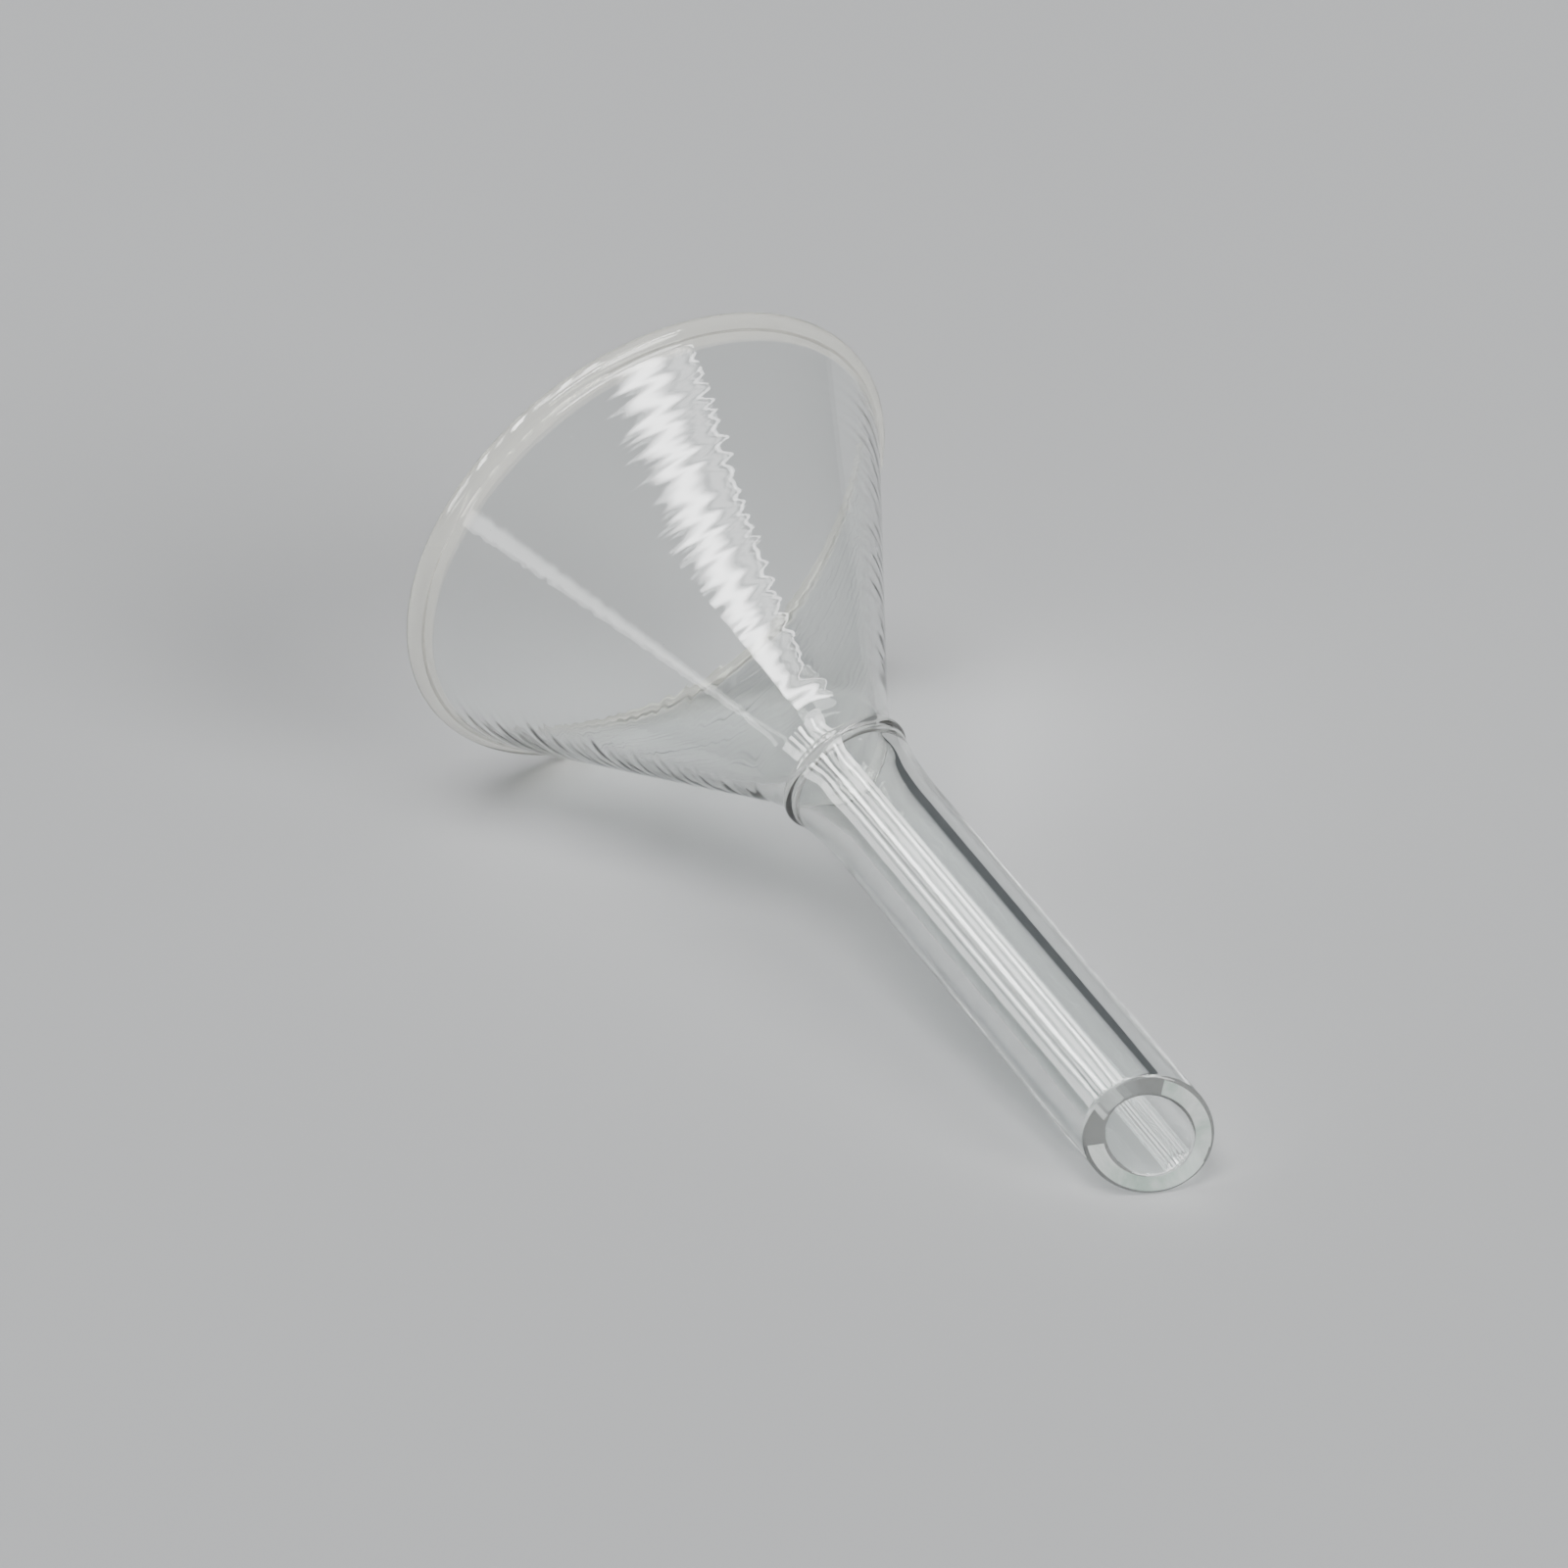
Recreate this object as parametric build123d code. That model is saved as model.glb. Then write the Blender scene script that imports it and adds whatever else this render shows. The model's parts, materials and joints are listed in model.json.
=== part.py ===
"""Small laboratory filter funnel in borosilicate glass, lying on its side on a bench.

Millimetres. The funnel is drawn upright about its own axis, stem end down, and is then laid
down so that the mouth's bead and the long side of the stem end touch the bench at Z = 0. The
axis lies in the XZ plane and rises towards the mouth at +X. The origin is on the bench, under
the middle of the bounding box.
"""
from build123d import *
import math
import os

# ---------------------------------------------------------------- driving dimensions
MOUTH_D = 38.6            # across the outside of the rim bead
BEAD_D = 1.4              # thickness of the fire-polished rim bead
BEAD_LAP = 0.03           # how far the bead wraps over the inner edge of the wall
CONE_HALF_ANGLE = 31.8    # degrees, between the cone's outside and the axis
CONE_WALL = 0.9           # measured square to the wall

STEM_D = 8.0              # outside of the stem tube
STEM_BORE = 5.0
STEM_STRAIGHT = 29.0      # from the middle of the cut end to the start of the flare
FLARE_LENGTH = 5.4        # where the tube opens out to meet the weld
FLARE_RISE = 0.55         # how far the tube's outside spreads there
FLARE_RISE_IN = 0.9       # how far its bore spreads, so the wall thins a little

WELD_HEIGHT = 0.8         # the fused seam between the cone blank and the stem tube
WELD_PROUD = 0.2          # how far the seam swells outwards
WELD_PROUD_IN = 0.12      # how far it swells into the passage

NECK_STEP = 0.05          # how much wider the throat is than the tube it is fused to
NECK_STRAIGHT = 0.05      # plain throat between the seam and the curve
NECK_FILLET = 5.0         # outside curve from the throat into the cone
NECK_FILLET_IN = 4.0      # the same curve inside
NECK_MARGIN = 1.4         # straight cone that belongs to the throat, above the curves

BEVEL = 31.0              # degrees, slant of the cut end away from square
BEVEL_TURN = 45.0         # degrees, from straight up towards +Y, the way the cut end faces
END_ROUND = 0.35          # fire-polished outer edge of the cut end
BORE_ROUND = 0.3          # and its inner edge
END_DRAW_IN = 0.06        # how far the flame draws the outside in, towards the very end
TIP_MARGIN = 0.8          # plain tube kept above the short side of the slant cut

REST_STEPS = 30           # halvings used to find the resting tilt

# ---------------------------------------------------------------- derived sizes
HALF_ANGLE = math.radians(CONE_HALF_ANGLE)
SLOPE = math.tan(HALF_ANGLE)
FILLET_RUN = math.tan(HALF_ANGLE / 2)               # tangent length of a throat curve, over its radius
WALL_ACROSS = CONE_WALL / math.cos(HALF_ANGLE)      # the cone's wall, square to the axis

STEM_R = STEM_D / 2
BORE_R = STEM_BORE / 2
FLARE_R = STEM_R + FLARE_RISE
NECK_R = FLARE_R + NECK_STEP
NECK_IN_R = BORE_R + FLARE_RISE_IN

Z_TIP_TOP = STEM_R * math.tan(math.radians(BEVEL)) + TIP_MARGIN
Z_FLARE = STEM_STRAIGHT
Z_WELD = Z_FLARE + FLARE_LENGTH
Z_NECK = Z_WELD + WELD_HEIGHT

# the corner where the cone's outer line, drawn down, meets the throat's, and the same inside,
# which lies lower where the throat's wall is the thicker one; both curves start above the seam
CORNER_DROP = (NECK_R - NECK_IN_R - WALL_ACROSS) / SLOPE
CURVE_RUN = NECK_FILLET * FILLET_RUN
CURVE_RUN_IN = NECK_FILLET_IN * FILLET_RUN
Z_CORNER = Z_NECK + NECK_STRAIGHT + max(CURVE_RUN, CURVE_RUN_IN + CORNER_DROP)
Z_CORNER_IN = Z_CORNER - CORNER_DROP
Z_CURVES_END = max(
    Z_CORNER + CURVE_RUN * math.cos(HALF_ANGLE),
    Z_CORNER_IN + CURVE_RUN_IN * math.cos(HALF_ANGLE),
)
Z_CONE = Z_CURVES_END + NECK_MARGIN

BEAD_R = BEAD_D / 2
BEAD_RING_R = MOUTH_D / 2 - BEAD_R
RIM_IN_R = BEAD_RING_R - BEAD_R + BEAD_LAP
RIM_OUT_R = RIM_IN_R + WALL_ACROSS
Z_RIM = Z_CORNER + (RIM_OUT_R - NECK_R) / SLOPE


def cone_outer_r(z):
    """Radius of the cone's outer line at height z."""
    return NECK_R + SLOPE * (z - Z_CORNER)


def cone_inner_r(z):
    """Radius of the cone's inner line at height z."""
    return cone_outer_r(z) - WALL_ACROSS


# ---------------------------------------------------------------- helpers
def at(r, z):
    """A point of a profile: r from the axis, z along it."""
    return (r, 0, z)


def lathe(*edges):
    """Turn a closed outline about the funnel's axis."""
    return revolve(make_face(list(edges)), Axis.Z, 360)


def flare_arc(r_low, r_high):
    """An arc that leaves the straight tube without a kink and opens out to the weld."""
    rise = r_high - r_low
    radius = (FLARE_LENGTH ** 2 + rise ** 2) / (2 * rise)
    half = FLARE_LENGTH / 2
    middle = r_low + radius - math.sqrt(radius ** 2 - half ** 2)
    return ThreePointArc(at(r_low, Z_FLARE), at(middle, Z_FLARE + half), at(r_high, Z_WELD))


# ---------------------------------------------------------------- the pieces, upright
def make_rim_bead():
    """Round bead that the flame draws up on the mouth's edge."""
    return Pos(0, 0, Z_RIM) * Torus(BEAD_RING_R, BEAD_R)


def make_cone_bowl(bead):
    """The straight-sided cone, ending in the bead."""
    wall = lathe(
        Line(at(cone_outer_r(Z_CONE), Z_CONE), at(RIM_OUT_R, Z_RIM)),
        Line(at(RIM_OUT_R, Z_RIM), at(RIM_IN_R, Z_RIM)),
        Line(at(RIM_IN_R, Z_RIM), at(cone_inner_r(Z_CONE), Z_CONE)),
        Line(at(cone_inner_r(Z_CONE), Z_CONE), at(cone_outer_r(Z_CONE), Z_CONE)),
    )
    return wall - bead


def make_neck():
    """The throat: a short tube that curves out into the cone."""
    outside = FilletPolyline(
        at(NECK_R, Z_NECK),
        at(NECK_R, Z_CORNER),
        at(cone_outer_r(Z_CONE), Z_CONE),
        radius=NECK_FILLET,
    )
    inside = FilletPolyline(
        at(NECK_IN_R, Z_NECK),
        at(NECK_IN_R, Z_CORNER_IN),
        at(cone_inner_r(Z_CONE), Z_CONE),
        radius=NECK_FILLET_IN,
    )
    return lathe(
        *outside.edges(),
        *inside.edges(),
        Line(at(NECK_R, Z_NECK), at(NECK_IN_R, Z_NECK)),
        Line(at(cone_outer_r(Z_CONE), Z_CONE), at(cone_inner_r(Z_CONE), Z_CONE)),
    )


def make_weld_ring():
    """The fused seam, a low swelling outside and inside."""
    middle = Z_WELD + WELD_HEIGHT / 2
    crest = NECK_R + WELD_PROUD
    return lathe(
        ThreePointArc(at(FLARE_R, Z_WELD), at(crest, middle), at(NECK_R, Z_NECK)),
        Line(at(NECK_R, Z_NECK), at(NECK_IN_R, Z_NECK)),
        ThreePointArc(at(NECK_IN_R, Z_NECK), at(NECK_IN_R - WELD_PROUD_IN, middle), at(NECK_IN_R, Z_WELD)),
        Line(at(NECK_IN_R, Z_WELD), at(FLARE_R, Z_WELD)),
    )


def make_stem_shoulder():
    """The end of the stem tube, opened out in the flame to meet the throat."""
    return lathe(
        flare_arc(STEM_R, FLARE_R),
        Line(at(FLARE_R, Z_WELD), at(NECK_IN_R, Z_WELD)),
        flare_arc(BORE_R, NECK_IN_R),
        Line(at(BORE_R, Z_FLARE), at(STEM_R, Z_FLARE)),
    )


def make_stem_tube():
    """The straight thick-walled tube."""
    return lathe(
        Line(at(STEM_R, Z_TIP_TOP), at(STEM_R, Z_FLARE)),
        Line(at(STEM_R, Z_FLARE), at(BORE_R, Z_FLARE)),
        Line(at(BORE_R, Z_FLARE), at(BORE_R, Z_TIP_TOP)),
        Line(at(BORE_R, Z_TIP_TOP), at(STEM_R, Z_TIP_TOP)),
    )


def make_stem_tip():
    """The slant-cut end, its edges softened by the flame."""
    blank = lathe(
        Line(at(STEM_R - END_DRAW_IN, -Z_TIP_TOP), at(STEM_R, Z_TIP_TOP)),
        Line(at(STEM_R, Z_TIP_TOP), at(BORE_R, Z_TIP_TOP)),
        Line(at(BORE_R, Z_TIP_TOP), at(BORE_R, -Z_TIP_TOP)),
        Line(at(BORE_R, -Z_TIP_TOP), at(STEM_R - END_DRAW_IN, -Z_TIP_TOP)),
    )
    lean = math.tan(math.radians(BEVEL))
    turn = math.radians(BEVEL_TURN)
    # -X is the side that faces up once the funnel lies down
    outwards = Vector(-lean * math.cos(turn), lean * math.sin(turn), -1)
    tip = split(blank, Plane(origin=(0, 0, 0), z_dir=outwards), keep=Keep.BOTTOM)
    slant = tip.faces().sort_by(lambda face: abs(face.normal_at().dot(outwards.normalized())))[-1]
    tip = fillet(slant.outer_wire().edges(), END_ROUND)
    slant = tip.faces().sort_by(lambda face: abs(face.normal_at().dot(outwards.normalized())))[-1]
    return fillet(slant.inner_wires()[0].edges(), BORE_ROUND)


# ---------------------------------------------------------------- laying it down
def laid(shape, tilt):
    """Turn an upright shape so that its axis rises towards +X at this tilt, in degrees."""
    return Rot(0, 90 - tilt, 0) * shape


def lowest(shape, tilt):
    """Lowest height of the shape when it is laid down at this tilt."""
    return laid(shape, tilt).bounding_box().min.Z


def resting_tilt(bead, tip):
    """The tilt at which the bead and the stem end touch the bench together."""
    low, high = 0.0, 45.0
    for _ in range(REST_STEPS):
        middle = (low + high) / 2
        if lowest(bead, middle) < lowest(tip, middle):
            low = middle
        else:
            high = middle
    return (low + high) / 2


rim_bead = make_rim_bead()
upright = {
    "rim_bead": rim_bead,
    "cone_bowl": make_cone_bowl(rim_bead),
    "neck": make_neck(),
    "weld_ring": make_weld_ring(),
    "stem_shoulder": make_stem_shoulder(),
    "stem_tube": make_stem_tube(),
    "stem_tip": make_stem_tip(),
}

tilt = resting_tilt(upright["rim_bead"], upright["stem_tip"])
pieces = {name: laid(shape, tilt) for name, shape in upright.items()}
box = Compound([solid for shape in pieces.values() for solid in shape.solids()]).bounding_box()
to_origin = Pos(-box.center().X, 0, -box.min.Z)

print(f"rim plane {Z_RIM:.3f} mm above the middle of the cut end, resting tilt {tilt:.3f} degrees")
print(f"axis passes through ({-box.center().X:.3f}, 0, {-box.min.Z:.3f}) at the cut end")

os.makedirs("parts", exist_ok=True)
for name, shape in pieces.items():
    export_step(to_origin * shape, f"parts/{name}.step")
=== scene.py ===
# %% [markdown]
# # A small glass filter funnel, lying on its side
#
# The real thing is a laboratory funnel of clear borosilicate glass. A glassblower fuses a cone
# blank to a piece of thick-walled tube, opens the tube out to meet the cone, melts the mouth's
# edge into a round bead, and cuts the other end of the stem on a slant.
#
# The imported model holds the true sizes. It comes first, and it stays as it is. All that follows
# is drawn in the same place, in metres, with the look that real glass has.

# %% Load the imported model
import json
import math

import bpy
import numpy as np
from mathutils import Matrix, Vector


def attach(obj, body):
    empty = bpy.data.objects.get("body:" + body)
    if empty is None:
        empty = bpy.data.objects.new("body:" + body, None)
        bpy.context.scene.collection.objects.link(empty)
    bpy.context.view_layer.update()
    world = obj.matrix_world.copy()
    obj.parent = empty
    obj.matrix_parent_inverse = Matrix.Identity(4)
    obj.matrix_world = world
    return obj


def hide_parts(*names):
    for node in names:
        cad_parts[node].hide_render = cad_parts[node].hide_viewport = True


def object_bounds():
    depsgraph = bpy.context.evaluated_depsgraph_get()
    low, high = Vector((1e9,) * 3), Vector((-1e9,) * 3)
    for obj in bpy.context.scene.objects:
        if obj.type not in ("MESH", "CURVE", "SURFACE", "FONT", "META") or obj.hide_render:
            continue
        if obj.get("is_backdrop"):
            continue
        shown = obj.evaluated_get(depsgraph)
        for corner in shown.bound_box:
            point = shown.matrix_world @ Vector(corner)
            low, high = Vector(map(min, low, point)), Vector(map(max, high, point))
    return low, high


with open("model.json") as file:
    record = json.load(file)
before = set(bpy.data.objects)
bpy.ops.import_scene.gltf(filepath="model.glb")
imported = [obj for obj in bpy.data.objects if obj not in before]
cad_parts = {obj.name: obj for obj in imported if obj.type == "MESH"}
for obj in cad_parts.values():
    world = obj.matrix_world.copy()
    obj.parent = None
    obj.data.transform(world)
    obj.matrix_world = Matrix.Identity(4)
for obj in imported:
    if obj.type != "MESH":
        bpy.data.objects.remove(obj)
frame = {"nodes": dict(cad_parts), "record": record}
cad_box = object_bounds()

MM = 0.001
print("nodes:", sorted(frame["nodes"]))

# %% [markdown]
# ## The funnel's own axis
#
# Everything on the funnel is turned about one axis, and the funnel lies tilted, with its rim and
# its stem end on the bench. The record states where the stem's outside is and which way the stem
# points, so the axis is read from there and not worked out twice.
#
# A place on the glass is then three plain numbers: how far along the axis it is, how far from
# the axis, and how far round. The angle starts at the side that faces up and grows towards +Y.

# %% Read the axis from the record
STEM_MOUNT_ALONG = 16.0   # mm, how far the stem mount lies from the middle of the cut end

stem_mount = next(m for m in frame["record"]["mounts"] if m["name"] == "stem_outside")
ALONG = -Vector(stem_mount["axis"]).normalized()
ACROSS = Vector((0.0, 1.0, 0.0))
UPWARDS = ALONG.cross(ACROSS).normalized()
CUT_MIDDLE = Vector(stem_mount["pos_m"]) - ALONG * STEM_MOUNT_ALONG * MM
TILT = math.asin(ALONG.z)
cut_in_mm = [round(c / MM, 2) for c in CUT_MIDDLE]
print(f"axis rises at {math.degrees(TILT):.2f} degrees from {cut_in_mm} mm")

# %% [markdown]
# ## Camera
#
# A long lens, from above the stem end, so that the stem comes towards the viewer and the mouth
# turns away. 90 mm on a 36 mm sensor keeps the far rim from shrinking.

# %% Camera
LENS, SENSOR = 90.0, 36.0                              # mm
NEAREST_SEEN = 0.01                                    # metres
CAMERA_FROM_CUT = Vector((-146.88, 123.35, 149.34))   # mm, from the middle of the cut end
LOOKS_TOWARDS = Vector((0.70168, -0.46019, -0.54394))

camera_data = bpy.data.cameras.new("camera")
camera_data.lens = LENS
camera_data.sensor_width = SENSOR
camera_data.clip_start = NEAREST_SEEN
camera = bpy.data.objects.new("camera", camera_data)
camera.location = CUT_MIDDLE + CAMERA_FROM_CUT * MM
camera.rotation_euler = LOOKS_TOWARDS.to_track_quat("-Z", "Y").to_euler()
bpy.context.scene.collection.objects.link(camera)
bpy.context.scene.camera = camera
print("camera stands", round((camera.location - CUT_MIDDLE).length / MM), "mm from the cut end")

# %% [markdown]
# ## The profile
#
# A glassblower works on a lathe, so half the funnel's outline, spun round the axis, gives the
# whole shape. One closed line runs up the outside of the stem and cone, round the bead, down the
# inside, and across the cut end. It is drawn once for the whole funnel and only afterwards cut
# into the zones that are worked in different ways. That keeps the surface smooth where one zone
# meets the next, and clear glass shows even the smallest kink as a bright line.
#
# Curves are sampled as points (distance along the axis, radius), in millimetres.

# %% Sizes, in millimetres and degrees
CONE_HALF = math.radians(31.8)
SLOPE = math.tan(CONE_HALF)
WALL = 0.9
WALL_ACROSS = WALL / math.cos(CONE_HALF)

STEM_R, BORE_R = 4.0, 2.5
# distances along the axis, from the middle of the cut end to where each zone starts
TIP_TOP, FLARE, WELD, NECK = 3.2034, 29.0, 34.4, 35.2
FLARE_R, THROAT_R, THROAT_IN_R = 4.55, 4.6, 3.4
WELD_PROUD, WELD_PROUD_IN = 0.2, 0.12
THROAT_CURVE, THROAT_CURVE_IN = 5.0, 4.0
# where the cone's line meets the throat's, outside and inside, and where the cone's zone starts
CORNER, CORNER_IN, CONE = 36.6743, 36.4473, 39.285

BEAD_R, BEAD_RING_R, RIM = 0.7, 18.6, 59.881


def cone_out(along):
    """Radius of the cone's outside."""
    return THROAT_R + SLOPE * (along - CORNER)


def cone_in(along):
    """Radius of the cone's inside."""
    return cone_out(along) - WALL_ACROSS


print("cone is", round(2 * cone_out(CONE), 1), "mm across where the throat hands over to it")

# %% [markdown]
# The outline needs only three kinds of line: a straight one, an arc about a known centre, and an
# arc through three points. Each leaves out its last point, because the next stretch starts there.


# %% Ways to draw a stretch of the profile
def straight(start, end, count):
    """Points from start up to, but not including, end."""
    steps = np.linspace(0.0, 1.0, count, endpoint=False)[:, None]
    return np.array(start) + steps * (np.array(end) - np.array(start))


def arc(centre, radius, angle_from, angle_to, count):
    """Points on a circle. Angle 0 points along the axis, and 90 degrees away from it."""
    turn = np.radians(np.linspace(angle_from, angle_to, count, endpoint=False))
    return np.array(centre) + radius * np.stack([np.cos(turn), np.sin(turn)], axis=1)


def through(start, middle, end, count):
    """Points on the circle through three points, from start up to but not including end."""
    a, b, c = (complex(*point) for point in (start, middle, end))
    w = (c - a) / (b - a)
    centre = a + (b - a) * (w - abs(w) ** 2) / (2j * w.imag)
    turned = np.angle((c - centre) / (a - centre))
    spokes = (a - centre) * np.exp(1j * np.linspace(0.0, turned, count, endpoint=False))
    return np.stack([centre.real + spokes.real, centre.imag + spokes.imag], axis=1)


# %% [markdown]
# The bead is a circle in the profile. A soft hollow joins it to the wall on each side, as surface
# tension pulls hot glass. Each hollow is a circle too, touching both the wall's line and the bead.
# The bead's zone takes in the hollows and a little plain wall, so it starts lower than in the
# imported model, where the hollows are left as sharp corners.

# %% The bead and the hollows beside it
BEAD_BLEND = 0.8          # radius of the hollows
BEAD_JOINT = 0.5          # plain wall that stays with the bead, below the hollows

WALL_DIRECTION = np.array([math.cos(CONE_HALF), math.sin(CONE_HALF)])
WALL_OUTWARDS = np.array([-math.sin(CONE_HALF), math.cos(CONE_HALF)])
BEAD_CENTRE = np.array([RIM, BEAD_RING_R])


def hollow(wall_point, outwards):
    """Centre of the hollow's circle, and where it touches the wall."""
    bead_side = np.dot(BEAD_CENTRE - wall_point, outwards) - BEAD_BLEND
    back = math.sqrt((BEAD_R + BEAD_BLEND) ** 2 - bead_side ** 2)
    foot = wall_point + WALL_DIRECTION * np.dot(BEAD_CENTRE - wall_point, WALL_DIRECTION)
    touch = foot - WALL_DIRECTION * back
    return touch + outwards * BEAD_BLEND, touch


def bearing(point, centre):
    """Angle of a point seen from a centre, in degrees."""
    return math.degrees(math.atan2(point[1] - centre[1], point[0] - centre[0]))


hollow_out, touch_out = hollow(np.array([RIM, cone_out(RIM)]), WALL_OUTWARDS)
hollow_in, touch_in = hollow(np.array([RIM, cone_in(RIM)]), -WALL_OUTWARDS)
joint_out = touch_out - WALL_DIRECTION * BEAD_JOINT
joint_in = touch_in - WALL_DIRECTION * BEAD_JOINT
bead_line = np.vstack([
    straight(joint_out, touch_out, 4),
    arc(hollow_out, BEAD_BLEND,
        bearing(touch_out, hollow_out), bearing(BEAD_CENTRE, hollow_out), 14),
    arc(BEAD_CENTRE, BEAD_R,
        bearing(hollow_out, BEAD_CENTRE), bearing(hollow_in, BEAD_CENTRE), 48),
    arc(hollow_in, BEAD_BLEND,
        bearing(BEAD_CENTRE, hollow_in), bearing(touch_in, hollow_in), 10),
    straight(touch_in, joint_in, 4),
])
print("the bead's zone starts", round(float(RIM - joint_out[0]), 2), "mm before the rim plane")

# %% [markdown]
# Now the line is put together, zone by zone, first up the outside and then down the inside.

# %% The turned zones, outside and inside
weld_middle = (WELD + NECK) / 2
flare_middle = (FLARE + WELD) / 2
half_flare = (WELD - FLARE) / 2
CONE_ROWS = 160           # close enough together to carry the fine rings that are cut in later


def flare_points(low_r, high_r):
    """Start, middle and end of the arc that opens the tube out without a kink at its start."""
    rise = high_r - low_r
    radius = (4 * half_flare ** 2 + rise ** 2) / (2 * rise)
    middle_r = low_r + radius - math.sqrt(radius ** 2 - half_flare ** 2)
    return (FLARE, low_r), (flare_middle, middle_r), (WELD, high_r)


run_out = THROAT_CURVE * math.tan(CONE_HALF / 2)
run_in = THROAT_CURVE_IN * math.tan(CONE_HALF / 2)
curve_out = (CORNER - run_out, THROAT_R + THROAT_CURVE)
curve_in = (CORNER_IN - run_in, THROAT_IN_R + THROAT_CURVE_IN)
curve_out_end = np.array([CORNER, THROAT_R]) + WALL_DIRECTION * run_out
curve_in_end = np.array([CORNER_IN, THROAT_IN_R]) + WALL_DIRECTION * run_in
curve_end_angle = -90.0 + math.degrees(CONE_HALF)

outside = {
    "stem_tube": straight((TIP_TOP, STEM_R), (FLARE, STEM_R), 40),
    "stem_shoulder": through(*flare_points(STEM_R, FLARE_R), 24),
    "weld_ring": through((WELD, FLARE_R), (weld_middle, THROAT_R + WELD_PROUD),
                         (NECK, THROAT_R), 20),
    "neck": np.vstack([
        straight((NECK, THROAT_R), (CORNER - run_out, THROAT_R), 2),
        arc(curve_out, THROAT_CURVE, -90.0, curve_end_angle, 24),
        straight(curve_out_end, (CONE, cone_out(CONE)), 10),
    ]),
    "cone_bowl": straight((CONE, cone_out(CONE)), joint_out, CONE_ROWS),
}
inside = {
    "cone_bowl": straight(joint_in, (CONE, cone_in(CONE)), CONE_ROWS),
    "neck": np.vstack([
        straight((CONE, cone_in(CONE)), curve_in_end, 10),
        arc(curve_in, THROAT_CURVE_IN, curve_end_angle, -90.0, 24),
        straight((CORNER_IN - run_in, THROAT_IN_R), (NECK, THROAT_IN_R), 2),
    ]),
    "weld_ring": through((NECK, THROAT_IN_R), (weld_middle, THROAT_IN_R - WELD_PROUD_IN),
                         (WELD, THROAT_IN_R), 20),
    "stem_shoulder": through(*reversed(flare_points(BORE_R, THROAT_IN_R)), 24),
    "stem_tube": straight((FLARE, BORE_R), (TIP_TOP, BORE_R), 40),
}
print({zone: len(line) for zone, line in outside.items()})

# %% [markdown]
# ## The slant-cut end
#
# The end is cut on a slant, ground, and softened in the flame, so both its edges are round. Its
# outline changes on the way round: each angle has its own slope across the cut. For every angle,
# the two rounded corners are worked out as circles that touch the tube's wall and the cut.

# %% The cut end's outline at every angle
TURNS = 300               # steps round the axis
CUT_SLANT = math.tan(math.radians(31.0))
CUT_FACES = math.radians(45.0)      # the way the cut faces, from straight up towards +Y
EDGE_ROUND, BORE_ROUND = 0.35, 0.3
DRAWN_IN = 0.06           # the flame draws the outside in by this much, towards the very end

angles = np.linspace(0.0, 2 * math.pi, TURNS, endpoint=False)


def cut_outline(angle):
    """The outline from the bore's wall, across the cut, to the outside wall."""
    slope = CUT_SLANT * math.cos(angle - CUT_FACES)
    lean = math.hypot(1.0, slope)
    faces = 180.0 - math.degrees(math.atan(slope))
    inner = (slope * (BORE_R + BORE_ROUND) + BORE_ROUND * lean, BORE_R + BORE_ROUND)
    outer = (slope * (STEM_R - EDGE_ROUND) + EDGE_ROUND * lean, STEM_R - EDGE_ROUND)
    bore_corner = arc(inner, BORE_ROUND, 270.0, faces, 7)
    edge_corner = arc(outer, EDGE_ROUND, faces, 90.0, 8)
    bore_foot = np.array(inner) + BORE_ROUND * np.array([-1.0, slope]) / lean
    line = np.vstack([
        straight((TIP_TOP, BORE_R), (inner[0], BORE_R), 10),
        bore_corner,
        straight(bore_foot, edge_corner[0], 12),
        edge_corner,
        straight((outer[0], STEM_R), (TIP_TOP, STEM_R), 10),
    ])
    drawn = DRAWN_IN * (TIP_TOP - line[:, 0]) / (2 * TIP_TOP)
    line[:, 1] -= drawn * (line[:, 1] - BORE_R) / (STEM_R - BORE_R)
    return line


cut_side = UPWARDS * math.cos(CUT_FACES) + ACROSS * math.sin(CUT_FACES)
cut_faces = (cut_side * CUT_SLANT - ALONG).normalized()
cut_lines = np.stack([cut_outline(angle) for angle in angles], axis=1)
print("the cut end has", cut_lines.shape[0], "rows of", cut_lines.shape[1], "points")

# %% [markdown]
# ## One skin for the whole funnel
#
# All the rows now go into one grid: row by row along the closed profile, and degree by degree
# round the axis. A list keeps which rows belong to which zone.

# %% Lay all the rows into one grid
rows, spans = [], {}


def lay(zone, side, lines):
    """Add a zone's rows to the grid, and remember where they are."""
    start = sum(len(block) for block in rows)
    rows.append(lines)
    spans[zone, side] = (start, start + len(lines))


def turned(line):
    """The same outline at every angle."""
    return np.repeat(line[:, None, :], TURNS, axis=1)


for zone, line in outside.items():
    lay(zone, "outside", turned(line))
lay("rim_bead", "round", turned(bead_line))
for zone, line in inside.items():
    lay(zone, "inside", turned(line))
lay("stem_tip", "round", cut_lines)
skin_line = np.concatenate(rows)
along, radius = skin_line[..., 0], skin_line[..., 1]
around = np.broadcast_to(angles, along.shape)
print("skin:", along.shape[0], "rows by", TURNS, "steps")

# %% [markdown]
# Two helpers take the grid from there. One puts it where the funnel lies, and the other finds
# which way the surface faces at every point, which the unevenness and the normals both need.


# %% From millimetres on the funnel to metres on the bench
def placed(along, radius, around):
    """Points in the model's frame, in metres."""
    out = radius[..., None] * (np.cos(around)[..., None] * np.array(UPWARDS)
                               + np.sin(around)[..., None] * np.array(ACROSS))
    return np.array(CUT_MIDDLE) + MM * (along[..., None] * np.array(ALONG) + out)


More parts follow.
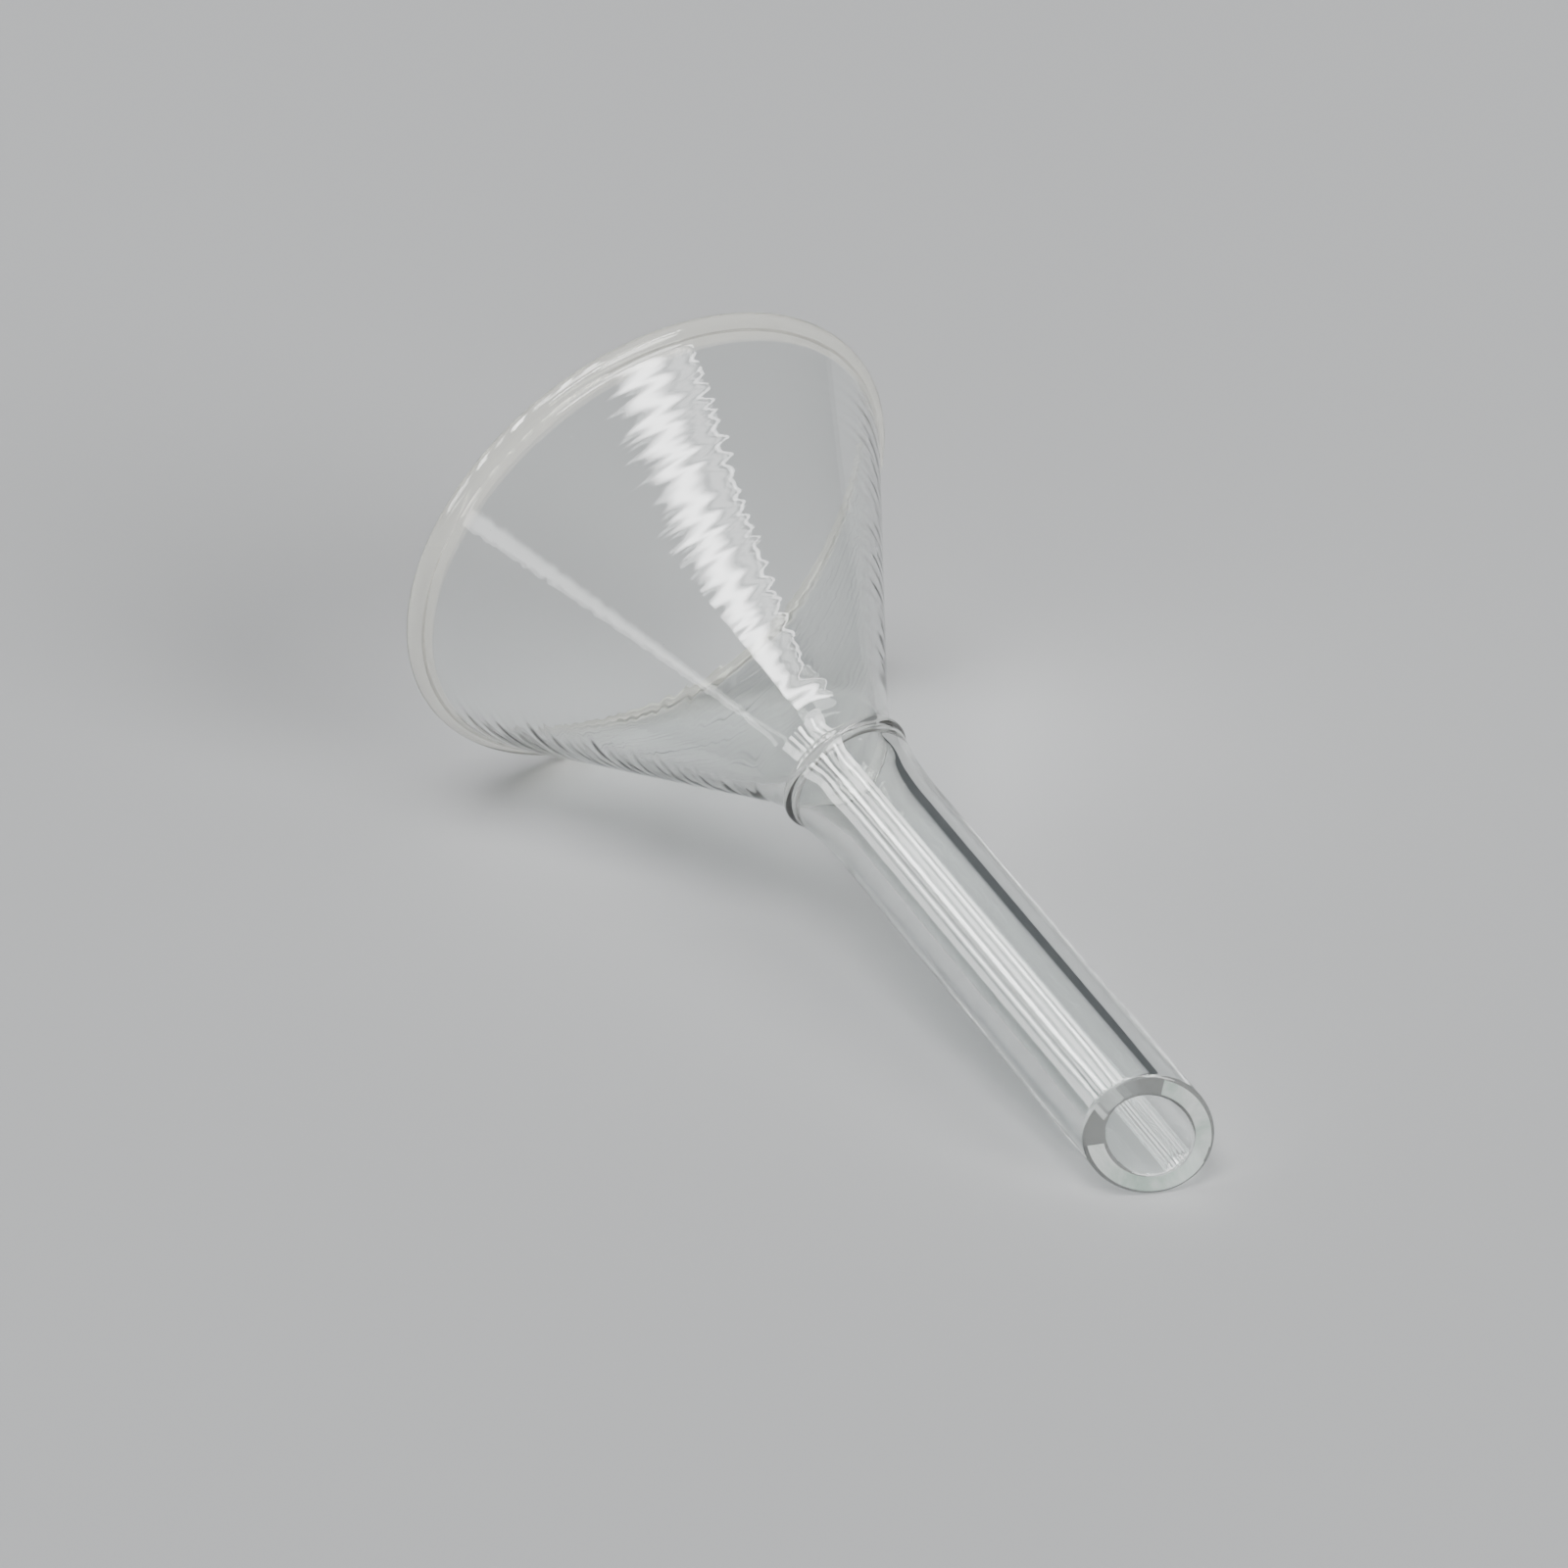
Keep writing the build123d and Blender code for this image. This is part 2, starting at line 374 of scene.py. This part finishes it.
def facing(points):
    """Outward directions of the closed skin, from each point's neighbours."""
    up_the_line = np.roll(points, -1, axis=0) - np.roll(points, 1, axis=0)
    round_it = np.roll(points, -1, axis=1) - np.roll(points, 1, axis=1)
    out = np.cross(up_the_line, round_it)
    return out / np.linalg.norm(out, axis=-1, keepdims=True)


# %% [markdown]
# ## Worked by hand
#
# No blown glass is perfectly even. The cone was shaped against a tool while it spun, which leaves
# fine rings that come and go on the way round. The stem was drawn, which leaves faint lines along
# it. Round the seam the glass was soft enough to sag and swell, so it lies in slow waves, and the
# seam itself is lumpy. The rings and lines are a few thousandths of a millimetre deep and the waves
# a few hundredths, too little to see in the outline, but a lamp's reflection shows them as
# feathered edges and streaks. They are cut into the mesh itself, as sums of a few waves, and a
# fixed seed makes them come out the same every time. Real rings can be finer than these, which
# are as fine as the mesh can carry.
#
# A reflection moves by twice the tilt of the surface, so the tilt is what the numbers give.

# %% Unevenness of the glass
RING_SPACING, RING_WAVES = (0.42, 1.5), 16  # mm from one forming ring to the next
RING_TILT = 0.0050                # radians, of each of the rings' waves
RING_FADE = (0.55, 0.45)          # middle and swing of a ring's depth on the way round
TOOL_SIDE = 1.4                   # how much deeper they are underneath, where the tool pressed
DRAW_LINES = (3, 5, 8, 13, 21, 34, 55)      # waves round the stem
DRAW_TILT = 0.005
DRAW_WANDER, WANDER_LENGTH = 0.4, 6.0       # radians sideways, and mm along for each radian
FLAME_LENGTH, FLAME_WAVES = (1.3, 4.2), 8   # mm, of the slow waves round the seam
FLAME_TILT = 0.022
SEAM_LUMPS, SEAM_REACH = 0.022, 0.55        # mm, height of the seam's lumps and their half width
LUMP_COUNTS, LUMP_FALL = (2, 3, 5, 9, 14), 0.7

# mm along the axis: where the rings come in and go out, and the same for lines and waves
RINGS_IN, RINGS_OUT = (CONE - 2.0, CONE + 3.0), (RIM - 1.8, RIM - 0.9)
LINES_IN, LINES_OUT = (TIP_TOP, TIP_TOP + 3.0), (FLARE, WELD)
WAVES_IN, WAVES_OUT = (FLARE + 1.0, WELD), (CONE - 2.0, CONE + 1.5)

draws = np.random.default_rng(7)


def ease(value, low, high):
    """0 below low, 1 above high, and a smooth step between them."""
    share = np.clip((value - low) / (high - low), 0.0, 1.0)
    return share * share * (3 - 2 * share)


def forming_rings():
    """Rings round the cone that fade in and out with the angle."""
    depth = np.zeros_like(along)
    for spacing in np.geomspace(*RING_SPACING, RING_WAVES):
        turns = draws.integers(-3, 4)
        phase, swell = draws.uniform(0, 2 * math.pi, 2)
        fade = RING_FADE[0] + RING_FADE[1] * np.sin(draws.integers(4, 22) * around + swell)
        wave = np.sin(2 * math.pi * along / spacing + turns * around + phase)
        depth += RING_TILT * spacing / (2 * math.pi) * fade * wave
    pressed = 1.0 + TOOL_SIDE * np.sin(around / 2) ** 2
    return depth * pressed * ease(along, *RINGS_IN) * (1 - ease(along, *RINGS_OUT))


def draw_lines():
    """Faint lines along the drawn stem."""
    depth = np.zeros_like(along)
    for count in DRAW_LINES:
        phase, drift = draws.uniform(0, 2 * math.pi, 2)
        wander = DRAW_WANDER * np.sin(along / WANDER_LENGTH + drift)
        depth += DRAW_TILT * STEM_R / count * np.sin(count * around + phase + wander)
    return depth * (1 - ease(along, *LINES_OUT)) * ease(along, *LINES_IN)


def flame_waves():
    """Slow waves in the throat, the seam and the shoulder, where the glass was soft."""
    depth = np.zeros_like(along)
    for length in np.geomspace(*FLAME_LENGTH, FLAME_WAVES):
        turns = draws.integers(-6, 7)
        phase = draws.uniform(0, 2 * math.pi)
        wave = np.sin(2 * math.pi * along / length + turns * around + phase)
        depth += FLAME_TILT * length / (2 * math.pi) * wave
    return depth * ease(along, *WAVES_IN) * (1 - ease(along, *WAVES_OUT))


def seam_lumps():
    """The seam's uneven swelling."""
    lumps = np.zeros_like(along)
    for count in LUMP_COUNTS:
        lumps += np.sin(count * around + draws.uniform(0, 2 * math.pi)) / count ** LUMP_FALL
    close = np.exp(-((along - weld_middle) / SEAM_REACH) ** 2)
    return SEAM_LUMPS * lumps * close


unevenness = forming_rings() + draw_lines() + flame_waves() + seam_lumps()
smooth_skin = placed(along, radius, around)
skin = smooth_skin + facing(smooth_skin) * unevenness[..., None] * MM
skin_facing = facing(skin)
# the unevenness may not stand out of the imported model's box, so it is trimmed flush there
skin = np.clip(skin, *np.array(cad_box))
print("deepest unevenness", round(float(np.abs(unevenness).max()), 3), "mm")

# %% [markdown]
# ## Cut the skin into its zones
#
# Each zone becomes a closed solid of its own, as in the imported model. Where two zones meet, each
# is closed by a flat ring. On the real funnel there is nothing at that place, only more glass. So
# those rings get a finish of their own that lets light straight through, and the glass looks like
# the one fused piece that it is. The normals of the whole skin go with each zone, so that no seam
# shows in a reflection.

# %% Make a zone's mesh
JOINT, WORKED = 0, 1      # a piece's two materials: the fused joint, and the finish of its zone


def make_zone(name, *sides):
    """A closed mesh from one or two stretches of the skin's rows."""
    total = skin.shape[0]
    ends = [spans[name, side] for side in sides]
    stretches = [[row % total for row in range(start, end + 1)] for start, end in ends]
    loop = [row for stretch in stretches for row in stretch]
    last_rows = np.cumsum([len(stretch) for stretch in stretches]) - 1
    points = skin[loop].reshape(-1, 3)
    count = len(loop)
    row, step = np.meshgrid(np.arange(count), np.arange(TURNS), indexing="ij")
    next_row, next_step = (row + 1) % count, (step + 1) % TURNS
    corners = [(row, step), (next_row, step), (next_row, next_step), (row, next_step)]
    faces = np.stack([(r * TURNS + s).ravel() for r, s in corners], axis=1)
    mesh = bpy.data.meshes.new(name)
    mesh.from_pydata(points.tolist(), [], faces.tolist())
    joints = np.isin(row.ravel(), last_rows)
    finishes = np.where(joints, JOINT, WORKED).astype(np.int32)
    mesh.polygons.foreach_set("material_index", finishes)
    mesh.polygons.foreach_set("use_smooth", ~joints)
    mesh.normals_split_custom_set_from_vertices(skin_facing[loop].reshape(-1, 3).tolist())
    piece = bpy.data.objects.new(name, mesh)
    bpy.context.scene.collection.objects.link(piece)
    return piece


# %% [markdown]
# ## Materials
#
# Everything here is one kind of glass: borosilicate 3.3, with a refractive index of 1.473. What
# differs is how each surface was made, and that decides how smooth it is and what it carries.
#
# One function turns a hex colour into the linear numbers that the shader works with, and one adds
# a node with its settings and links. Patterns are placed with the funnel's own axis, in
# millimetres, so that a ring's or a scratch's size can be given as it is on the real thing.

# %% Helpers for materials
GLASS_IOR = 1.473


def linear(hex_colour):
    """An sRGB hex colour as linear RGBA."""
    parts = [int(hex_colour[i:i + 2], 16) / 255 for i in (1, 3, 5)]
    return [p / 12.92 if p <= 0.04045 else ((p + 0.055) / 1.055) ** 2.4 for p in parts] + [1.0]


def add(tree, kind, inputs, **settings):
    """A shader node with its settings, and its inputs set or linked."""
    made = tree.nodes.new("ShaderNode" + kind)
    for name, value in settings.items():
        setattr(made, name, value)
    for name, value in inputs.items():
        if isinstance(value, bpy.types.NodeSocket):
            tree.links.new(value, made.inputs[name])
        else:
            made.inputs[name].default_value = value
    return made


def empty_material(name):
    """A material with nothing in it, and its node tree."""
    material = bpy.data.materials.new(name)
    material.use_nodes = True
    material.node_tree.nodes.clear()
    return material, material.node_tree


def on_funnel(tree):
    """Coordinates in mm: along the axis, across it, and up from it."""
    place = add(tree, "TexCoord", {}).outputs["Object"]
    turn_back = Matrix.Rotation(TILT, 3, "Y")
    shift = turn_back @ CUT_MIDDLE * (-1 / MM)
    return add(tree, "Mapping", {"Vector": place, "Location": shift, "Rotation": (0, TILT, 0),
                                 "Scale": (1 / MM,) * 3}).outputs["Vector"]


print("borosilicate glass bends light with an index of", GLASS_IOR)

# %% [markdown]
# ### The fused joint
#
# Solid glass runs on through this place, so the finish is plain see-through with no bending.

# %% Fused joint
fused_joint, tree = empty_material("fused_joint")
clear = add(tree, "BsdfTransparent", {})
add(tree, "OutputMaterial", {"Surface": clear.outputs["BSDF"]})

# %% [markdown]
# ### One glass, seven finishes
#
# The eye finds clear glass by its highlights, its dark and bright edges, and the little that
# sticks to it. So each finish has the same three layers: a very fine relief that breaks up
# reflections in the direction the surface was worked, a haze of handling marks that makes some
# patches a touch rougher, and small specks of dust.
#
# Relief heights are real ones. A wave of half a millimetre needs only a quarter of a thousandth
# of a millimetre to tilt a reflection by a fifth of a degree.
#
# A ground surface scatters light back and looks milky. Letting less of the light through gives
# that, and a second colour lets it come in clouds. The rounded and melted places have a little of
# it too, so that they read as solid glass and not as a black line.

# %% A glass finish
RELIEF = 0.0003           # mm, height of the fine relief
SPECK_SPACING = 2.4       # mm between specks of dust
SPECK_SIZE = 0.045        # mm, drawn a little coarser than real dust so that it shows
SPECK_CORE = 0.7          # share of a speck's size at which it reaches its full strength
SPECK_COLOUR = "#B9B7B0"  # grey lint and dust
SPECK_ROUGHNESS = 0.7
HANDLED = (0.52, 0.72)    # the part of the marks' pattern that shows as haze
CLOUDED = (0.35, 0.62)    # and the part over which one body colour goes over into the other


def glass(name, tint, relief_spacing, relief=RELIEF, smooth=0.0, haze=0.05,
          see_through=1.0, cloud=None):
    """A glass finish with relief, handling haze, dust and, where asked for, clouds."""
    material, tree = empty_material(name)
    place = on_funnel(tree)
    cells_per_mm = tuple(1 / spacing for spacing in relief_spacing)
    stretched = add(tree, "VectorMath", {0: place, 1: cells_per_mm},
                    operation="MULTIPLY").outputs["Vector"]
    worked = add(tree, "TexNoise", {"Vector": stretched, "Scale": 1.0, "Detail": 3.0,
                                    "Roughness": 0.55}).outputs["Fac"]
    bump = add(tree, "Bump", {"Height": worked, "Strength": 1.0,
                              "Distance": relief * MM}).outputs["Normal"]
    marks = add(tree, "TexNoise", {"Vector": place, "Scale": 0.16, "Detail": 5.0, "Roughness": 0.62,
                                   "Distortion": 1.2}).outputs["Fac"]
    handled = add(tree, "MapRange", {"Value": marks, "From Min": HANDLED[0], "From Max": HANDLED[1],
                                     "To Min": smooth, "To Max": smooth + haze}).outputs["Result"]
    cells = add(tree, "TexVoronoi", {"Vector": place,
                                     "Scale": 1 / SPECK_SPACING}).outputs["Distance"]
    speck_edge = SPECK_SIZE / SPECK_SPACING
    specks = add(tree, "MapRange", {"Value": cells, "From Min": speck_edge,
                                    "From Max": SPECK_CORE * speck_edge}).outputs["Result"]
    rough = add(tree, "Math", {0: specks, 1: SPECK_ROUGHNESS, 2: handled},
                operation="MULTIPLY_ADD").outputs["Value"]
    clouds = add(tree, "MapRange", {"Value": marks, "From Min": CLOUDED[0],
                                    "From Max": CLOUDED[1]}).outputs["Result"]
    body = add(tree, "MixRGB", {"Fac": clouds, "Color1": linear(tint),
                                "Color2": linear(cloud or tint)}).outputs["Color"]
    colour = add(tree, "MixRGB", {"Fac": specks, "Color1": body, "Color2": linear(SPECK_COLOUR)})
    surface = add(tree, "BsdfPrincipled", {
        "Base Color": colour.outputs["Color"], "Roughness": rough, "Normal": bump, "IOR": GLASS_IOR,
        "Transmission Weight": see_through,
    })
    add(tree, "OutputMaterial", {"Surface": surface.outputs["BSDF"]})
    return material


# %% [markdown]
# The cone and its throat were blown and shaped on a spinning tool, so the relief runs in rings.
# The stem is drawn tube, with its relief in long lines. The flame-worked places, which are the
# throat, the shoulder, the seam and the bead, have melted relief with no direction left in it.
#
# - blown: clean and glossy, for the cone
# - drawn: the same, with faint lines along it, for the stem
# - flamed: softly rippled, for the throat and the shoulder
# - fused: rippled, and a touch milky, so that the seam reads as a ring
# - fire polished: glossy, a little creamy, so that the rim reads as a solid band
# - ground: matt and clouded with pale green, for the flat of the cut
# - melted: the same flat where the flame has cleared it, glossier and less milky

# %% The finishes
blown = glass("blown_borosilicate", "#F9FBFA", (0.45, 6.0, 6.0))
drawn = glass("drawn_borosilicate_tube", "#F7FAF9", (30.0, 0.5, 0.5), relief=0.0002)
flamed = glass("flame_worked_borosilicate", "#F8FAF8", (1.3, 1.3, 1.3), relief=0.0008)
fused = glass("fused_seam", "#FAFBF7", (0.7, 0.9, 0.9), relief=0.0008, see_through=0.92)
fire_polished = glass("fire_polished_bead", "#FEFDF6", (1.6, 1.6, 1.6), relief=0.0006, haze=0.02,
                      see_through=0.84)
ground = glass("ground_and_flamed_cut", "#FDFFFD", (0.3, 0.3, 0.3), relief=0.0012, smooth=0.07,
               haze=0.14, see_through=0.30, cloud="#BDD3C7")
melted = glass("melted_clear_edge", "#F7FBF8", (0.9, 0.9, 0.9), relief=0.0010, smooth=0.03,
               haze=0.08, see_through=0.78)
print("glass finishes:", [finish.name for finish in (blown, drawn, flamed, fused, fire_polished,
                                                     ground, melted)])

# %% [markdown]
# Each zone takes the finish of the way it was made. It stands in for the node of the same name in
# the imported model, which is hidden.

# %% Make the zones
ZONES = {
    "rim_bead": (fire_polished, "bead_glass", ["round"]),
    "cone_bowl": (blown, "clear_glass", ["outside", "inside"]),
    "neck": (flamed, "clear_glass", ["outside", "inside"]),
    "weld_ring": (fused, "weld_glass", ["outside", "inside"]),
    "stem_shoulder": (flamed, "clear_glass", ["outside", "inside"]),
    "stem_tube": (drawn, "clear_glass", ["outside", "inside"]),
    "stem_tip": (ground, "cut_glass", ["round"]),
}
zones = {}
for node, (finish, slot_name, sides) in ZONES.items():
    piece = make_zone(node, *sides)
    piece.name = f"{node}_glass"
    piece.data.materials.append(fused_joint)
    piece.data.materials.append(finish)
    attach(piece, "root")
    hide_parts(node)
    zones[node] = piece
    print(piece.name, len(piece.data.polygons), "faces")

# %% [markdown]
# The walls of the slant-cut end are drawn tube like the rest of the stem. Only the flat of the cut
# is ground, and on one side the flame has melted it clear again. Its two round edges are flame
# worked and clear too. So the tip's mesh gets a third and a fourth material.

# %% Give the tip's walls and edges their own finish
TUBE_WALL, MELTED = 2, 3
MELTED_FROM, MELTED_TO = -14.0, 96.0        # degrees round, from straight up towards +Y
WALL_LEAN = 0.25          # a face that leans less than this along the axis is tube wall
FLAT_AGREES = 0.985       # a face that agrees less than this with the cut is a round edge

tip = zones["stem_tip"]
tip.data.materials.append(drawn)
tip.data.materials.append(melted)
for face in tip.data.polygons:
    if face.material_index != WORKED:
        continue
    lean = np.dot(face.normal, ALONG)
    from_axis = face.center - CUT_MIDDLE
    turn = math.degrees(math.atan2(from_axis.dot(ACROSS), from_axis.dot(UPWARDS)))
    if abs(lean) < WALL_LEAN:
        face.material_index = TUBE_WALL
    elif face.normal.dot(cut_faces) < FLAT_AGREES or MELTED_FROM < turn < MELTED_TO:
        face.material_index = MELTED
print("tip has", sum(f.material_index == WORKED for f in tip.data.polygons), "ground faces")

# %% [markdown]
# ## Bench and light
#
# Clear glass shows only what is around it, so the studio matters as much as the material. The
# bench is plain, pale and quite matt, so that nothing in the room is mirrored in it.

# %% Bench
HALF_BENCH = 3.0          # metres
BENCH_COLOUR, BENCH_ROUGHNESS = "#BABBBC", 0.8

corners = [(x * HALF_BENCH, y * HALF_BENCH, 0) for x, y in ((-1, -1), (1, -1), (1, 1), (-1, 1))]
bench_data = bpy.data.meshes.new("bench")
bench_data.from_pydata(corners, [], [(0, 1, 2, 3)])
bench = bpy.data.objects.new("bench", bench_data)
bpy.context.scene.collection.objects.link(bench)
bench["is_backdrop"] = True
matt, tree = empty_material("matt_bench")
top = add(tree, "BsdfPrincipled", {"Base Color": linear(BENCH_COLOUR),
                                   "Roughness": BENCH_ROUGHNESS, "Specular IOR Level": 0.0})
add(tree, "OutputMaterial", {"Surface": top.outputs["BSDF"]})
bench_data.materials.append(matt)
print("bench is", 2 * HALF_BENCH, "m across")

# %% [markdown]
# Round the bench the room is dim, because dim surroundings draw the edges of clear glass as
# darker lines.

# %% The room
ROOM_COLOUR, ROOM_STRENGTH = "#8F9498", 0.35

world = bpy.data.worlds.new("dim_room")
world.use_nodes = True
room = world.node_tree.nodes["Background"]
room.inputs["Color"].default_value = linear(ROOM_COLOUR)
room.inputs["Strength"].default_value = ROOM_STRENGTH
bpy.context.scene.world = world
print("room light at", ROOM_STRENGTH)

# %% [markdown]
# Two broad lights, one from above and one from the stem's end, light the bench and the funnel
# evenly. They are so far away that the bench is equally bright from edge to edge.

# %% Even light for the bench and the funnel
LIGHTS = {
    "overhead_light": ((-0.15, 0.35, 1.0), 2.8),      # the way it comes from, and how strong
    "end_light": ((-0.85, -0.2, 0.5), 2.5),
}
LIGHT_SPREAD = 28.0       # degrees across, which softens the shadows

for name, (towards, strength) in LIGHTS.items():
    light = bpy.data.lights.new(name, "SUN")
    light.energy = strength
    light.angle = math.radians(LIGHT_SPREAD)
    source = bpy.data.objects.new(name, light)
    source.rotation_euler = Vector(towards).to_track_quat("Z", "Y").to_euler()
    bpy.context.scene.collection.objects.link(source)
    print(name, "shines from", towards)

# %% [markdown]
# The long highlights are reflections of soft panels that stand round the funnel. Only the glass
# sees these, so they leave the bench as it is. Each fades at its edges, as cloth over a lamp
# does, because a hard edge would show as a hard line in the glass. Brightness is given for the
# panel's surface, so a panel can change its size and still look as bright.

# %% How a soft panel is made
PANEL_AIM = Vector((0, 0, 0.02))      # metres, the middle of the funnel
HALF_WAY = 0.5                        # a panel's own coordinates run from 0 to 1


def soft_panel(name, towards, long_side, distance, size, brightness, fade=0.02):
    """A rectangular lamp that faces the funnel and fades over so many metres to its edges."""
    lamp = bpy.data.lights.new(name, "AREA")
    lamp.shape = "RECTANGLE"
    lamp.size, lamp.size_y = size
    lamp.energy = brightness * math.pi * size[0] * size[1]
    lamp.use_nodes = True
    tree = lamp.node_tree
    place = add(tree, "NewGeometry", {}).outputs["Parametric"]
    from_middle = add(tree, "VectorMath", {0: place, 1: (HALF_WAY, HALF_WAY, 0.0)},
                      operation="SUBTRACT").outputs["Vector"]
    out = add(tree, "VectorMath", {0: from_middle}, operation="ABSOLUTE").outputs["Vector"]
    sides = add(tree, "SeparateXYZ", {"Vector": out})
    fades = []
    for axis, side in zip("XY", size):
        full = HALF_WAY - min(fade / side, HALF_WAY)
        faded = add(tree, "MapRange", {"Value": sides.outputs[axis], "From Min": HALF_WAY,
                                       "From Max": full}, interpolation_type="SMOOTHSTEP")
        fades.append(faded.outputs["Result"])
    glow = add(tree, "Math", {0: fades[0], 1: fades[1]}, operation="MULTIPLY").outputs["Value"]
    tree.links.new(glow, tree.nodes["Emission"].inputs["Strength"])
    outwards = Vector(towards).normalized()
    across = Vector(long_side).cross(outwards).normalized()
    lengthways = outwards.cross(across)
    panel = bpy.data.objects.new(name, lamp)
    panel.location = PANEL_AIM + outwards * distance
    panel.rotation_euler = Matrix((across, lengthways, outwards)).transposed().to_euler()
    panel.visible_camera = False
    panel.visible_diffuse = False
    bpy.context.scene.collection.objects.link(panel)
    return panel


# %% [markdown]
# Three panels side by side lie along the cone: a wide bright one, a dim one, and a thin line at
# the edge. A small low one, beside the funnel, gives the pale strip on the left of the cone.

# %% Panels for the cone
CONE_LENGTHWAYS = (-0.292, 0.934, -0.230)
CONE_DISTANCE, CONE_LENGTH = 0.8, 0.9       # metres

soft_panel("cone_panel", (-0.59, 0.0, 0.81), CONE_LENGTHWAYS, CONE_DISTANCE,
           (0.085, CONE_LENGTH), 55.0, fade=0.04)
soft_panel("cone_panel_dim", (-0.644, -0.0275, 0.767), CONE_LENGTHWAYS, CONE_DISTANCE,
           (0.055, CONE_LENGTH), 8.0)
soft_panel("cone_panel_line", (-0.672, -0.042, 0.7452), CONE_LENGTHWAYS, CONE_DISTANCE,
           (0.016, CONE_LENGTH), 32.0)
soft_panel("low_strip", (-0.36, 0.93, -0.02), (0.92, 0.36, 0.15), 0.45, (0.09, 0.20), 7.0)
print("four panels for the cone")

# %% [markdown]
# The stem is a cylinder, so it sees its surroundings squeezed into lines, and a row of panels
# becomes its streaks. They stand in an arch over the stem, from near the bench to overhead.

# %% Panels for the stem
STEM_DISTANCE, STEM_PANEL_LENGTH = 0.5, 0.34          # metres
ARCH_LEAN, ARCH_LEAN_LOST = 0.37, 0.22                # towards the mouth, and less so overhead
ARCH_OUT, ARCH_UP = 0.88, 0.97                        # the arch is a little flattened
# degrees up from the bench, degrees wide, brightness
STEM_PANELS = [(14, 16, 15.0), (28, 7, 36.0), (37, 6, 11.0), (46, 7, 62.0), (57, 9, 14.0),
               (68, 6, 46.0), (79, 8, 24.0)]

for number, (up, spread, brightness) in enumerate(STEM_PANELS):
    up, half = math.radians(up), math.radians(spread / 2)
    lean = ARCH_LEAN - ARCH_LEAN_LOST * up / (math.pi / 2)
    soft_panel(f"stem_panel_{number}", (lean, ARCH_OUT * math.cos(up), ARCH_UP * math.sin(up)),
               (-0.2, -math.sin(up), math.cos(up)), STEM_DISTANCE,
               (STEM_PANEL_LENGTH, 2 * STEM_DISTANCE * math.tan(half)), brightness)
print(len(STEM_PANELS), "panels for the stem")

# %% [markdown]
# ## Finish
#
# The imported model's box and the visual model's box are both printed, in millimetres. The box of
# the visual model has to lie inside the imported model's box, so both are written down.

# %% Write both boxes and finish
visual_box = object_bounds()
for corner_cad, corner_visual in zip(cad_box, visual_box):
    print([round(c / MM, 3) for c in corner_cad], [round(c / MM, 3) for c in corner_visual], "mm")
